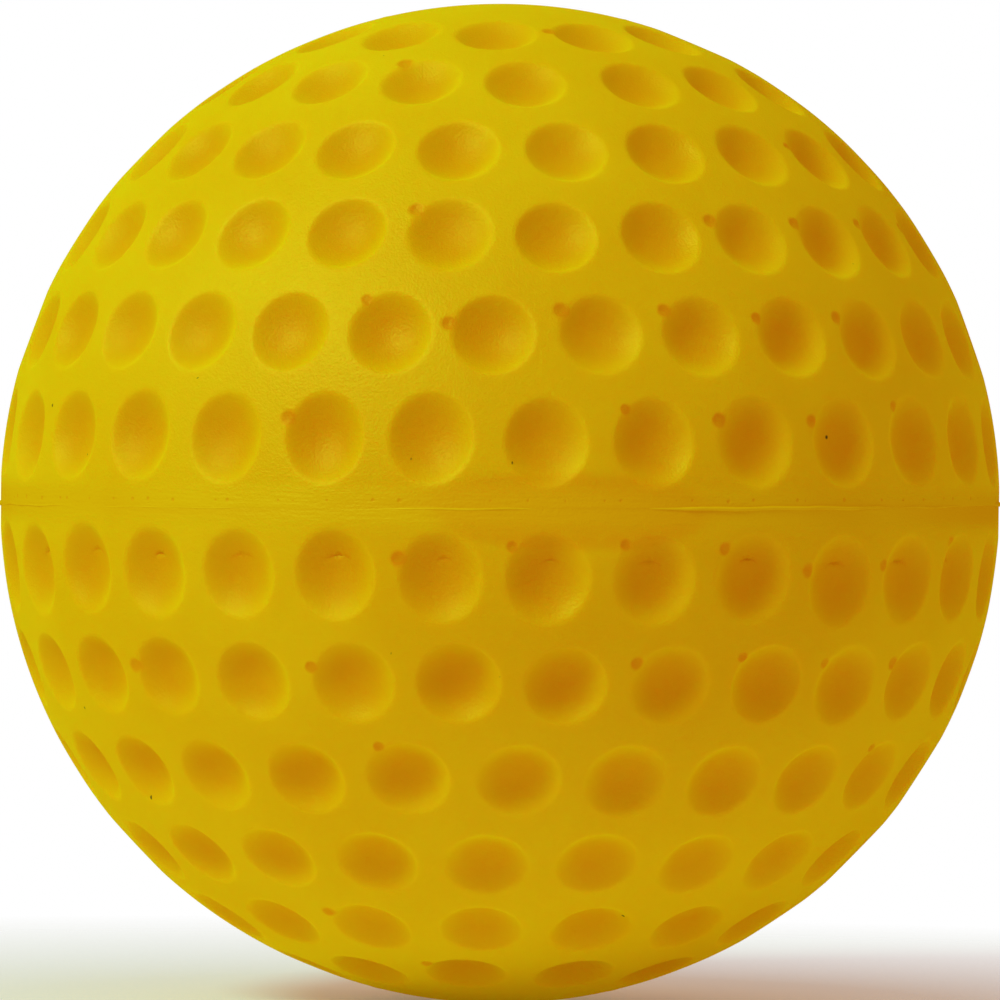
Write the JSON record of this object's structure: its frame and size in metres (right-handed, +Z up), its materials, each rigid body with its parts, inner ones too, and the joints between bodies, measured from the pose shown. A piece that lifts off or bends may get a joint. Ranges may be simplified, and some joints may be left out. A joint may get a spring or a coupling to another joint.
{
  "type": "dimpled practice ball",
  "caption": "Solid sports ball with round dimples in rows of latitude, moulded as half covers welded round a composite core.",
  "frame": {"origin": "the centre of the ball", "axes": "+Z up through the moulding pole of the upper cover, the weld in the XY plane, the side shown first facing -Y"},
  "size_m": [0.073, 0.073, 0.073],
  "materials": {
    "cover": "yellow moulded polyurethane with a soft waxy sheen and a fine grain",
    "weld": "yellow polyurethane weld, trimmed and buffed",
    "core": "bonded cork and rubber granules"
  },
  "bodies": {
    "root": {"upper_cover": "cover", "lower_cover": "cover", "weld_ring": "weld", "core": "core"}
  },
  "joints": []
}
